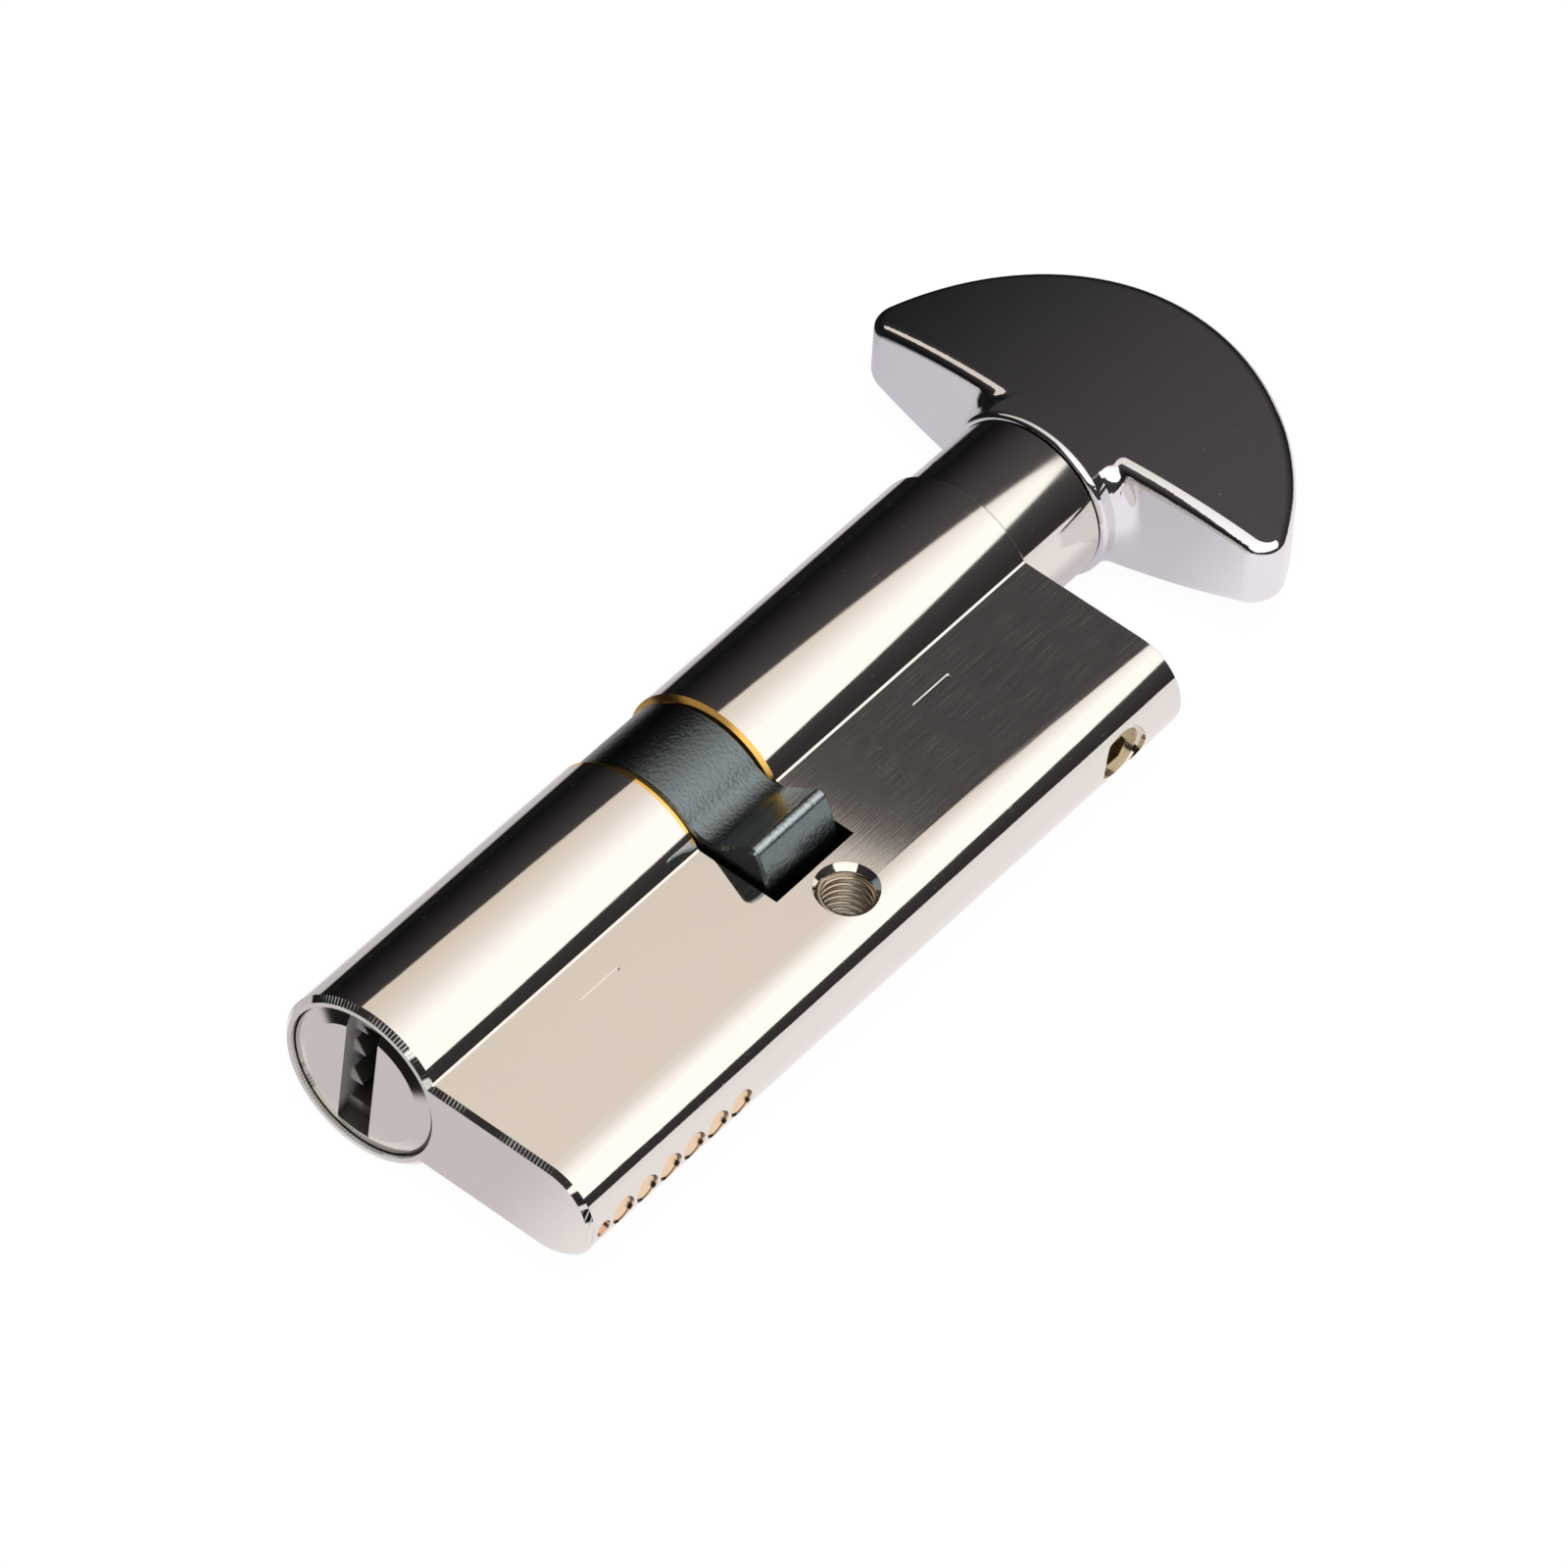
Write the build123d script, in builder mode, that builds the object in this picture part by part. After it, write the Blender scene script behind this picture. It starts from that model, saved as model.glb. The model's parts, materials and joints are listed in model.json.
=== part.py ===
"""Euro-profile lock cylinder: a keyway at one end, a half-moon thumb knob at the other, a cam between them.

The cylinder lies on its flat side. +X runs along the barrel from the key end to the knob, +Y from the leg
to the barrel, and +Z is the normal of the flat side. The origin is the middle of the fixing screw's hole.
Lengths are millimetres, and a depth is measured from the barrel's axis towards the foot of the leg.
"""

import os
from math import cos, pi, radians, sin

from build123d import *

os.makedirs("parts", exist_ok=True)

# Body: a round barrel on a flat leg with a round foot
BARREL_DIAMETER = 17.0
LEG_WIDTH = 10.0
PROFILE_HEIGHT = 33.0
KEY_SIDE = 40.5  # fixing screw to the key-end face
KNOB_SIDE = 39.5  # fixing screw to the knob-end face
KEY_END_CHAMFER = 0.5
KNOB_END_CHAMFER = 0.2

# Short lines cut in the flat, one on each side of the fixing screw
MARK_LENGTH = 5.0
MARK_WIDTH = 0.4
MARK_CUT = 0.15
MARK_PLACE = 22.3
MARK_DEPTH = 10.1

# Fixing screw
SCREW_DEPTH = 18.7
SCREW_DIAMETER = 5.0
SCREW_SINK_DIAMETER = 6.0

# Clearances
RUNNING_GAP = 0.06  # round the turning parts and the sliding pins
FIXED_GAP = 0.02  # round the pieces that are fixed in each other
END_GAP = 0.25  # between the ends of turning and fixed parts

# Cam and the slot that it turns in
SLOT_WIDTH = 10.4
SLOT_DEPTH = 15.2
CAM_DIAMETER = 16.2
CAM_SIDE_GAP = 0.5
CAM_CHAMFER = 0.25
LEVER_TIP_GAP = 0.4
LEVER_REST_ANGLE = 20.0  # turned up from the leg
LEVER_SPREAD = 32.0
LEVER_ROOT_ROUND = 3.0
LEVER_TIP_ROUND = 0.8
CAM_POCKET_DIAMETER = 10.6
CAM_POCKET_LENGTH = 1.4

# Key plug
PLUG_DIAMETER = 13.0
PLUG_HEAD_DIAMETER = 14.9
PLUG_HEAD_LENGTH = 2.0
PLUG_HEAD_GAP = 0.12
PLUG_BEVEL_WIDTH = 1.5
PLUG_BEVEL_LENGTH = 0.45
KEYWAY_WIDTH = 3.3
KEYWAY_OFFSET = 0.4  # towards the barrel's back
KEYWAY_LEAN = 3.0  # degrees about the plug's axis
KEYWAY_TOP = 5.0
KEYWAY_FOOT = 4.6
MOUTH_FOOT = 6.1
MOUTH_LENGTH = 1.6
WARD_HEIGHT = 1.2
WARD_BASE = 1.5
WARD_PLACES = (4.1, 1.3, -2.4)

# Clip that keeps the plug in the body
CLIP_GRIP = 0.7  # how far it stands out of the plug
CLIP_THICKNESS = 0.8
CLIP_GROOVE_DIAMETER = 11.2
CLIP_OPENING = 6.0
CLIP_SEAT_LENGTH = 1.0

# Pins, springs and the plugs that close their chambers
PIN_COUNT = 6
PIN_PITCH = 3.1
FIRST_PIN = 4.3  # from the key-end face
PIN_DIAMETER = 2.6
PIN_STEP_DEPTH = 2.7  # where a fallen key pin rests
NOSE_DIAMETER = 1.6
NOSE_LENGTH = 2.9
NOSE_TIP_DIAMETER = 0.9
KEY_PIN_DROPS = (0.9, 0.5, 1.3, 0.7, 1.1, 0.4)
SHEAR_GAP = 0.15
DRIVER_LENGTH = 5.6
SPOOL_DRIVERS = (2, 4)  # waisted against picking
SPOOL_WAIST_DIAMETER = 1.9
SPOOL_WAIST_LENGTH = 2.4
CHAMBER_PLUG_LENGTH = 2.0
CHAMBER_PLUG_RECESS = 0.3
PIN_SPRING_DIAMETER = 2.2
PIN_SPRING_WIRE = 0.36
PIN_SPRING_TURNS = 6

# Hard pin that stops a drill, between the key-end face and the first chamber
DRILL_PIN_PLACE = 1.7  # from the key-end face
DRILL_PIN_DIAMETER = 1.6
DRILL_PIN_DEPTH = 9.6
DRILL_PIN_RECESS = 0.3

# Coupling that joins the plug to the cam, and its return spring
COUPLING_LENGTH = 4.5
COUPLING_THICKNESS = 3.0
COUPLING_HEIGHT = 9.0
COUPLING_CHAMFER = 0.3
COUPLING_SPRING_DIAMETER = 2.4
COUPLING_SPRING_WIRE = 0.4
COUPLING_SPRING_TURNS = 4
SPRING_SEAT_GAP = 0.02

# Springs are drawn light: straight runs in each turn, and flat sides on the wire
COIL_RUNS = 10
WIRE_SIDES = 4

# Knob shaft
SHAFT_DIAMETER = 13.0
SHAFT_TONGUE_LENGTH = 3.8
SHAFT_TONGUE_THICKNESS = 4.0
SHAFT_TONGUE_HEIGHT = 9.0
NECK_DIAMETER = 15.8
NECK_LENGTH = 9.9  # from the body to the knob's collar
SPIGOT_DIAMETER = 8.0
SPIGOT_LENGTH = 10.5

# Pin and screw that hold the shaft in the body
RETAINER_PLACE = 31.5  # from the fixing screw
RETAINING_PIN_DIAMETER = 3.0
RETAINING_PIN_GAP = 0.2
RETAINING_GROOVE_DIAMETER = 10.4
RETAINING_SCREW_DIAMETER = 5.0
RETAINING_SCREW_LENGTH = 4.0
RETAINING_SCREW_RECESS = 1.1
RETAINING_SOCKET = 2.6
RETAINING_SOCKET_DEPTH = 1.8
RETAINING_SINK_DIAMETER = 5.8
RETAINING_SINK_DEPTH = 0.7

# Thumb knob: a half-moon wing on a round collar
KNOB_REST_ANGLE = -3.4  # as photographed
COLLAR_DIAMETER = 16.8
COLLAR_LENGTH = 2.1
COLLAR_ROUND = 0.6
COLLAR_SEAT_GAP = 0.15  # between the neck and the collar
HOOD_START = 1.6  # where the collar begins to fade into the wing
HOOD_END = 7.0
HOOD_WIDTH = 23.0
HOOD_SINK = 0.7
WING_SPAN = 46.0
WING_REACH = 22.5  # from the collar's front
WING_SWEEP = 3.0
WING_THICKNESS = 13.2
WING_TIP_THICKNESS = 5.6
WING_TIP_ROUND = 2.6
WING_EDGE_ROUND = 1.2
WING_ROOT_ROUND = 2.0

# Set screw under the knob
SET_SCREW_PLACE = 8.0  # from the collar's front
SET_SCREW_DIAMETER = 4.0
SET_SCREW_LENGTH = 2.8
SET_SCREW_BITE = 0.6
SET_SCREW_SOCKET = 2.0
SET_SCREW_SOCKET_DEPTH = 1.4

# Places that follow from those sizes
LEG_DEPTH = PROFILE_HEIGHT - BARREL_DIAMETER / 2
FOOT_ROUND = LEG_WIDTH / 2
SLOT_WALL = SLOT_WIDTH / 2
CAM_HALF = SLOT_WALL - CAM_SIDE_GAP
LEVER_RADIUS = SLOT_DEPTH - LEVER_TIP_GAP
PLUG_RADIUS = PLUG_DIAMETER / 2
HEAD_RADIUS = PLUG_HEAD_DIAMETER / 2
CLIP_RADIUS = PLUG_RADIUS + CLIP_GRIP
PLUG_END = -CAM_HALF - END_GAP
PIN_RADIUS = PIN_DIAMETER / 2
CHAMBER_RADIUS = PIN_RADIUS + RUNNING_GAP
PIN_PLACES = [-KEY_SIDE + FIRST_PIN + number * PIN_PITCH for number in range(PIN_COUNT)]
DRIVER_INNER = PLUG_RADIUS + SHEAR_GAP
DRIVER_OUTER = DRIVER_INNER + DRIVER_LENGTH
CHAMBER_PLUG_OUTER = LEG_DEPTH - CHAMBER_PLUG_RECESS
CHAMBER_PLUG_INNER = CHAMBER_PLUG_OUTER - CHAMBER_PLUG_LENGTH
COUPLING_BACK = PLUG_END - COUPLING_LENGTH
TONGUE_END = CAM_HALF + END_GAP - SHAFT_TONGUE_LENGTH
SHAFT_RADIUS = SHAFT_DIAMETER / 2
NECK_RADIUS = NECK_DIAMETER / 2
COLLAR_FRONT = KNOB_SIDE + NECK_LENGTH
COLLAR_RADIUS = COLLAR_DIAMETER / 2
SPIGOT_END = COLLAR_FRONT + SPIGOT_LENGTH
RETAINING_SCREW_OUTER = LEG_DEPTH - RETAINING_SCREW_RECESS
RETAINING_SCREW_INNER = RETAINING_SCREW_OUTER - RETAINING_SCREW_LENGTH
RETAINING_PIN_INNER = RETAINING_GROOVE_DIAMETER / 2 + RETAINING_PIN_GAP
SET_SCREW_INNER = SPIGOT_DIAMETER / 2 - SET_SCREW_BITE

# Planes: along the barrel, across it, and down the leg from its axis
ALONG = Plane(origin=(0, SCREW_DEPTH, 0))
ACROSS = Plane(origin=(0, SCREW_DEPTH, 0), x_dir=(0, 1, 0), z_dir=(1, 0, 0))
DOWN = Plane(origin=(0, SCREW_DEPTH, 0), x_dir=(1, 0, 0), z_dir=(0, -1, 0))
BARREL_AXIS = Axis(ALONG.origin, ALONG.x_dir)

# Planes of the knob, which stands turned a little about the barrel's axis
KNOB_TURN = radians(KNOB_REST_ANGLE)
KNOB_UP = (0, -sin(KNOB_TURN), cos(KNOB_TURN))
KNOB_SIDEWAYS = (0, cos(KNOB_TURN), sin(KNOB_TURN))
KNOB_ORIGIN = (COLLAR_FRONT, SCREW_DEPTH, 0)
KNOB_PLAN = Plane(origin=KNOB_ORIGIN, x_dir=(1, 0, 0), z_dir=KNOB_UP)
KNOB_ACROSS = Plane(origin=KNOB_ORIGIN, x_dir=KNOB_SIDEWAYS, z_dir=(1, 0, 0))
KNOB_UNDER = Plane(origin=KNOB_ORIGIN, x_dir=(1, 0, 0), z_dir=tuple(-part for part in KNOB_UP))


def pin_plane(place):
    """Plane whose X axis runs down the leg from the barrel's axis, at a place along the barrel."""
    return Plane(origin=(place, SCREW_DEPTH, 0), x_dir=(0, -1, 0), z_dir=(0, 0, 1))


def half_section(plane, points):
    """Face between the plane's X axis and a line through (place, radius) points."""
    with BuildSketch(plane) as section:
        with BuildLine():
            Polyline((points[0][0], 0), *points, (points[-1][0], 0), close=True)
        make_face()
    return section.sketch


def coil(plane, radius, length, turns):
    """Coil along the plane's normal, drawn in short straight runs."""
    steps = turns * COIL_RUNS
    points = []
    for step in range(steps + 1):
        angle = 2 * pi * step / COIL_RUNS
        spoke = plane.x_dir * cos(angle) + plane.y_dir * sin(angle)
        points.append(plane.origin + spoke * radius + plane.z_dir * (length * step / steps))
    with BuildLine() as path:
        Polyline(*points)
    return path.wires()[0]


# Cylinder body: profile, cam slot, bores, pin chambers and fixing hole
with BuildPart() as cylinder_body:
    with BuildSketch(ACROSS.offset(-KEY_SIDE)):
        Circle(BARREL_DIAMETER / 2)
        with Locations((FOOT_ROUND - LEG_DEPTH, 0)):
            Circle(FOOT_ROUND)
            Rectangle(LEG_DEPTH - FOOT_ROUND, LEG_WIDTH, align=(Align.MIN, Align.CENTER))
    extrude(amount=KEY_SIDE + KNOB_SIDE)
    chamfer(cylinder_body.faces().sort_by(Axis.X)[0].edges(), KEY_END_CHAMFER)
    chamfer(cylinder_body.faces().sort_by(Axis.X)[-1].edges(), KNOB_END_CHAMFER)
    with BuildSketch(ACROSS.offset(-SLOT_WALL)):
        with Locations((-SLOT_DEPTH, 0)):
            Rectangle(SLOT_DEPTH + BARREL_DIAMETER, 2 * BARREL_DIAMETER, align=(Align.MIN, Align.CENTER))
    extrude(amount=SLOT_WIDTH, mode=Mode.SUBTRACT)
    head_bore = HEAD_RADIUS + PLUG_HEAD_GAP
    plug_bore = PLUG_RADIUS + RUNNING_GAP
    clip_bore = CLIP_RADIUS + PLUG_HEAD_GAP
    head_seat = -KEY_SIDE + PLUG_HEAD_LENGTH + FIXED_GAP
    clip_seat = -SLOT_WALL - CLIP_SEAT_LENGTH
    key_bore = [(-KEY_SIDE, head_bore), (head_seat, head_bore), (head_seat, plug_bore)]
    key_bore += [(clip_seat, plug_bore), (clip_seat, clip_bore), (-SLOT_WALL, clip_bore)]
    revolve(half_section(ALONG, key_bore), axis=BARREL_AXIS, mode=Mode.SUBTRACT)
    shaft_bore = SHAFT_RADIUS + RUNNING_GAP
    knob_bore = [(SLOT_WALL, shaft_bore), (KNOB_SIDE, shaft_bore)]
    revolve(half_section(ALONG, knob_bore), axis=BARREL_AXIS, mode=Mode.SUBTRACT)
    with BuildSketch(DOWN):
        with Locations(*[(place, 0) for place in PIN_PLACES]):
            Circle(CHAMBER_RADIUS)
        with Locations((RETAINER_PLACE, 0)):
            Circle(RETAINING_PIN_DIAMETER / 2 + FIXED_GAP)
    extrude(amount=LEG_DEPTH, mode=Mode.SUBTRACT)
    with BuildSketch(DOWN.offset(DRILL_PIN_DEPTH)):
        with Locations((-KEY_SIDE + DRILL_PIN_PLACE, 0)):
            Circle(DRILL_PIN_DIAMETER / 2 + FIXED_GAP)
    extrude(amount=LEG_DEPTH - DRILL_PIN_DEPTH, mode=Mode.SUBTRACT)
    with BuildSketch(DOWN.offset(RETAINING_SCREW_INNER)):
        with Locations((RETAINER_PLACE, 0)):
            Circle(RETAINING_SCREW_DIAMETER / 2 + FIXED_GAP)
    extrude(amount=LEG_DEPTH - RETAINING_SCREW_INNER, mode=Mode.SUBTRACT)
    with BuildSketch(DOWN.offset(LEG_DEPTH - RETAINING_SINK_DEPTH)):
        with Locations((RETAINER_PLACE, 0)):
            Circle(RETAINING_SINK_DIAMETER / 2)
    extrude(amount=RETAINING_SINK_DEPTH, mode=Mode.SUBTRACT)
    upper_flat = Plane(origin=(0, 0, LEG_WIDTH / 2))
    lower_flat = Plane(origin=(0, 0, -LEG_WIDTH / 2), z_dir=(0, 0, -1))
    with Locations(upper_flat, lower_flat):
        CounterSinkHole(SCREW_DIAMETER / 2, SCREW_SINK_DIAMETER / 2)
    with BuildSketch(upper_flat):
        with Locations((-MARK_PLACE, SCREW_DEPTH - MARK_DEPTH), (MARK_PLACE, SCREW_DEPTH - MARK_DEPTH)):
            SlotOverall(MARK_LENGTH, MARK_WIDTH)
    extrude(amount=-MARK_CUT, mode=Mode.SUBTRACT)
cylinder_body.part.label = "cylinder_body"
export_step(cylinder_body.part, "parts/cylinder_body.step")

# Key plug: a headed plug with keyway, pin holes, clip groove and a slot for the coupling
clip_inner = -SLOT_WALL - CLIP_SEAT_LENGTH + FIXED_GAP
clip_outer = clip_inner + CLIP_THICKNESS
with BuildPart() as key_plug:
    groove = CLIP_GROOVE_DIAMETER / 2
    head_back = -KEY_SIDE + PLUG_HEAD_LENGTH
    outline = [(-KEY_SIDE, HEAD_RADIUS - PLUG_BEVEL_WIDTH), (-KEY_SIDE + PLUG_BEVEL_LENGTH, HEAD_RADIUS)]
    outline += [(head_back, HEAD_RADIUS), (head_back, PLUG_RADIUS), (clip_inner, PLUG_RADIUS)]
    outline += [(clip_inner, groove), (clip_outer, groove), (clip_outer, PLUG_RADIUS)]
    outline += [(PLUG_END, PLUG_RADIUS)]
    revolve(half_section(ALONG, outline), axis=BARREL_AXIS)
    wall = KEYWAY_OFFSET + KEYWAY_WIDTH / 2
    key_face = ACROSS.offset(-KEY_SIDE).rotated((0, 0, KEYWAY_LEAN))
    with BuildSketch(key_face):
        with Locations((KEYWAY_OFFSET, -KEYWAY_FOOT)):
            Rectangle(KEYWAY_WIDTH, KEYWAY_FOOT + KEYWAY_TOP, align=(Align.CENTER, Align.MIN))
        for ward in WARD_PLACES:
            with BuildLine():
                Polyline((wall, ward + WARD_BASE), (wall - WARD_HEIGHT, ward), (wall, ward), close=True)
            make_face(mode=Mode.SUBTRACT)
    extrude(amount=KEY_SIDE + COUPLING_BACK, mode=Mode.SUBTRACT)
    with BuildSketch(key_face):
        with Locations((KEYWAY_OFFSET, -MOUTH_FOOT)):
            Rectangle(KEYWAY_WIDTH, MOUTH_FOOT + PLUG_HEAD_DIAMETER, align=(Align.CENTER, Align.MIN))
    extrude(amount=MOUTH_LENGTH, mode=Mode.SUBTRACT)
    with BuildSketch(ACROSS.offset(COUPLING_BACK)):
        Rectangle(COUPLING_THICKNESS + 2 * RUNNING_GAP, COUPLING_HEIGHT + 2 * RUNNING_GAP)
    extrude(amount=COUPLING_LENGTH, mode=Mode.SUBTRACT)
    with BuildSketch(DOWN.offset(PIN_STEP_DEPTH)):
        with Locations(*[(place, 0) for place in PIN_PLACES]):
            Circle(CHAMBER_RADIUS)
    extrude(amount=PLUG_RADIUS, mode=Mode.SUBTRACT)
    with BuildSketch(DOWN):
        with Locations(*[(place, 0) for place in PIN_PLACES]):
            Circle(NOSE_DIAMETER / 2 + RUNNING_GAP)
    extrude(amount=PIN_STEP_DEPTH, mode=Mode.SUBTRACT)
key_plug.part.label = "key_plug"
export_step(key_plug.part, "parts/key_plug.step")

# Clip in the plug's groove, open on the side away from the leg
with BuildPart() as plug_circlip:
    with BuildSketch(ACROSS.offset(clip_inner)):
        Circle(CLIP_RADIUS)
        Circle(CLIP_GROOVE_DIAMETER / 2 + FIXED_GAP, mode=Mode.SUBTRACT)
        Rectangle(2 * CLIP_RADIUS, CLIP_OPENING, align=(Align.MIN, Align.CENTER), mode=Mode.SUBTRACT)
    extrude(amount=CLIP_THICKNESS)
plug_circlip.part.label = "plug_circlip"
export_step(plug_circlip.part, "parts/plug_circlip.step")

# Cam: a ring with a lever, a pocket for the coupling and a slot for the shaft's tongue
with BuildPart() as cam:
    with BuildSketch(ACROSS.offset(-CAM_HALF)) as outline:
        Circle(CAM_DIAMETER / 2)
        with BuildLine():
            middle = pi - radians(LEVER_REST_ANGLE)
            turns = [middle - radians(LEVER_SPREAD / 2), middle, middle + radians(LEVER_SPREAD / 2)]
            tip = [(LEVER_RADIUS * cos(turn), LEVER_RADIUS * sin(turn)) for turn in turns]
            Polyline(tip[2], (0, 0), tip[0])
            ThreePointArc(*tip)
        make_face()
        by_radius = outline.vertices().sort_by(lambda corner: Vector(corner.X, corner.Y).length)
        fillet(by_radius[-2:], LEVER_TIP_ROUND)
        by_radius = outline.vertices().sort_by(lambda corner: Vector(corner.X, corner.Y).length)
        fillet(by_radius[-6:-4], LEVER_ROOT_ROUND)
    extrude(amount=2 * CAM_HALF)
    ends = cam.faces().filter_by(Axis.X)
    chamfer(ends.edges(), CAM_CHAMFER)
    with BuildSketch(ACROSS.offset(-CAM_HALF)):
        Circle(CAM_POCKET_DIAMETER / 2)
    extrude(amount=CAM_POCKET_LENGTH, mode=Mode.SUBTRACT)
    with BuildSketch(ACROSS.offset(-CAM_HALF)):
        Rectangle(COUPLING_THICKNESS + 2 * RUNNING_GAP, COUPLING_HEIGHT + 2 * RUNNING_GAP)
    extrude(amount=CAM_HALF, mode=Mode.SUBTRACT)
    with BuildSketch(ACROSS.offset(TONGUE_END)):
        Rectangle(SHAFT_TONGUE_THICKNESS + 2 * FIXED_GAP, SHAFT_TONGUE_HEIGHT + 2 * FIXED_GAP)
    extrude(amount=SHAFT_TONGUE_LENGTH, mode=Mode.SUBTRACT)
    with BuildSketch(ACROSS.offset(-CAM_HALF)):
        Circle(COUPLING_SPRING_DIAMETER / 2 + RUNNING_GAP)
    extrude(amount=CAM_HALF + TONGUE_END, mode=Mode.SUBTRACT)
cam.part.label = "cam"
export_step(cam.part, "parts/cam.step")

# Coupling bar in the plug's end, and the spring that returns it
with BuildPart() as coupling:
    with BuildSketch(ACROSS.offset(COUPLING_BACK + FIXED_GAP)):
        Rectangle(COUPLING_THICKNESS, COUPLING_HEIGHT)
    extrude(amount=COUPLING_LENGTH - FIXED_GAP)
    chamfer(coupling.edges().filter_by(Axis.X), COUPLING_CHAMFER)
coupling.part.label = "coupling"
export_step(coupling.part, "parts/coupling.step")

with BuildPart() as coupling_spring:
    wire = COUPLING_SPRING_WIRE
    inset = wire / 2 + SPRING_SEAT_GAP
    length = TONGUE_END - PLUG_END - 2 * inset
    radius = (COUPLING_SPRING_DIAMETER - wire) / 2
    path = coil(ACROSS.offset(PLUG_END + inset), radius, length, COUPLING_SPRING_TURNS)
    with BuildSketch(Plane(origin=path @ 0, z_dir=path % 0)):
        RegularPolygon(wire / 2, WIRE_SIDES)
    sweep(path=path, transition=Transition.RIGHT)
coupling_spring.part.label = "coupling_spring"
export_step(coupling_spring.part, "parts/coupling_spring.step")

# Key pins, driver pins, springs and closing plugs, one of each in every chamber
for number, (place, drop) in enumerate(zip(PIN_PLACES, KEY_PIN_DROPS), start=1):
    plane = pin_plane(place)
    axis = Axis(plane.origin, plane.x_dir)

    with BuildPart() as key_pin:
        shoulder = PIN_STEP_DEPTH + drop
        end = PLUG_RADIUS - SHEAR_GAP
        nose = NOSE_DIAMETER / 2
        outline = [(shoulder - NOSE_LENGTH, NOSE_TIP_DIAMETER / 2), (shoulder - NOSE_LENGTH + nose, nose)]
        outline += [(shoulder, nose), (shoulder, PIN_RADIUS)]
        outline += [(end, PIN_RADIUS)]
        revolve(half_section(plane, outline), axis=axis)
    key_pin.part.label = f"key_pin_{number}"
    export_step(key_pin.part, f"parts/key_pin_{number}.step")

    with BuildPart() as driver_pin:
        outline = [(DRIVER_INNER, PIN_RADIUS), (DRIVER_OUTER, PIN_RADIUS)]
        if number in SPOOL_DRIVERS:
            waist = SPOOL_WAIST_DIAMETER / 2
            waist_start = (DRIVER_INNER + DRIVER_OUTER - SPOOL_WAIST_LENGTH) / 2
            waist_end = waist_start + SPOOL_WAIST_LENGTH
            flange_in, flange_out = (waist_start, PIN_RADIUS), (waist_end, PIN_RADIUS)
            outline[1:1] = [flange_in, (waist_start, waist), (waist_end, waist), flange_out]
        revolve(half_section(plane, outline), axis=axis)
    driver_pin.part.label = f"driver_pin_{number}"
    export_step(driver_pin.part, f"parts/driver_pin_{number}.step")

    with BuildPart() as pin_spring:
        inset = PIN_SPRING_WIRE / 2 + SPRING_SEAT_GAP
        length = CHAMBER_PLUG_INNER - DRIVER_OUTER - 2 * inset
        radius = (PIN_SPRING_DIAMETER - PIN_SPRING_WIRE) / 2
        foot = Plane(origin=(place, SCREW_DEPTH, 0), x_dir=(1, 0, 0), z_dir=(0, -1, 0))
        path = coil(foot.offset(DRIVER_OUTER + inset), radius, length, PIN_SPRING_TURNS)
        with BuildSketch(Plane(origin=path @ 0, z_dir=path % 0)):
            RegularPolygon(PIN_SPRING_WIRE / 2, WIRE_SIDES)
        sweep(path=path, transition=Transition.RIGHT)
    pin_spring.part.label = f"pin_spring_{number}"
    export_step(pin_spring.part, f"parts/pin_spring_{number}.step")

    with BuildPart() as chamber_plug:
        radius = CHAMBER_RADIUS - FIXED_GAP
        outline = [(CHAMBER_PLUG_INNER, radius), (CHAMBER_PLUG_OUTER, radius)]
        revolve(half_section(plane, outline), axis=axis)
    chamber_plug.part.label = f"chamber_plug_{number}"
    export_step(chamber_plug.part, f"parts/chamber_plug_{number}.step")

# Hard pin beside the first chamber
with BuildPart() as anti_drill_pin:
    plane = pin_plane(-KEY_SIDE + DRILL_PIN_PLACE)
    radius = DRILL_PIN_DIAMETER / 2
    outline = [(DRILL_PIN_DEPTH, radius), (LEG_DEPTH - DRILL_PIN_RECESS, radius)]
    revolve(half_section(plane, outline), axis=Axis(plane.origin, plane.x_dir))
anti_drill_pin.part.label = "anti_drill_pin"
export_step(anti_drill_pin.part, "parts/anti_drill_pin.step")

# Knob shaft: tongue in the cam, journal with its groove, neck, and spigot in the knob
with BuildPart() as knob_shaft:
    groove = RETAINING_GROOVE_DIAMETER / 2
    groove_start = RETAINER_PLACE - RETAINING_PIN_DIAMETER / 2 - RETAINING_PIN_GAP
    groove_end = RETAINER_PLACE + RETAINING_PIN_DIAMETER / 2 + RETAINING_PIN_GAP
    neck_start = KNOB_SIDE + END_GAP
    neck_end = COLLAR_FRONT - COLLAR_SEAT_GAP
    spigot = SPIGOT_DIAMETER / 2
    outline = [(CAM_HALF + END_GAP, SHAFT_RADIUS), (groove_start, SHAFT_RADIUS), (groove_start, groove)]
    outline += [(groove_end, groove), (groove_end, SHAFT_RADIUS), (neck_start, SHAFT_RADIUS)]
    outline += [(neck_start, NECK_RADIUS), (neck_end, NECK_RADIUS), (neck_end, spigot)]
    outline += [(SPIGOT_END, spigot)]
    revolve(half_section(ALONG, outline), axis=BARREL_AXIS)
    with BuildSketch(ACROSS.offset(TONGUE_END + FIXED_GAP)):
        Rectangle(SHAFT_TONGUE_THICKNESS, SHAFT_TONGUE_HEIGHT)
    extrude(amount=SHAFT_TONGUE_LENGTH)
    with BuildSketch(KNOB_UNDER.offset(SET_SCREW_INNER - FIXED_GAP)):
        with Locations((SET_SCREW_PLACE, 0)):
            Circle(SET_SCREW_DIAMETER / 2 + FIXED_GAP)
    extrude(amount=SPIGOT_DIAMETER, mode=Mode.SUBTRACT)
knob_shaft.part.label = "knob_shaft"
export_step(knob_shaft.part, "parts/knob_shaft.step")

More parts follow.
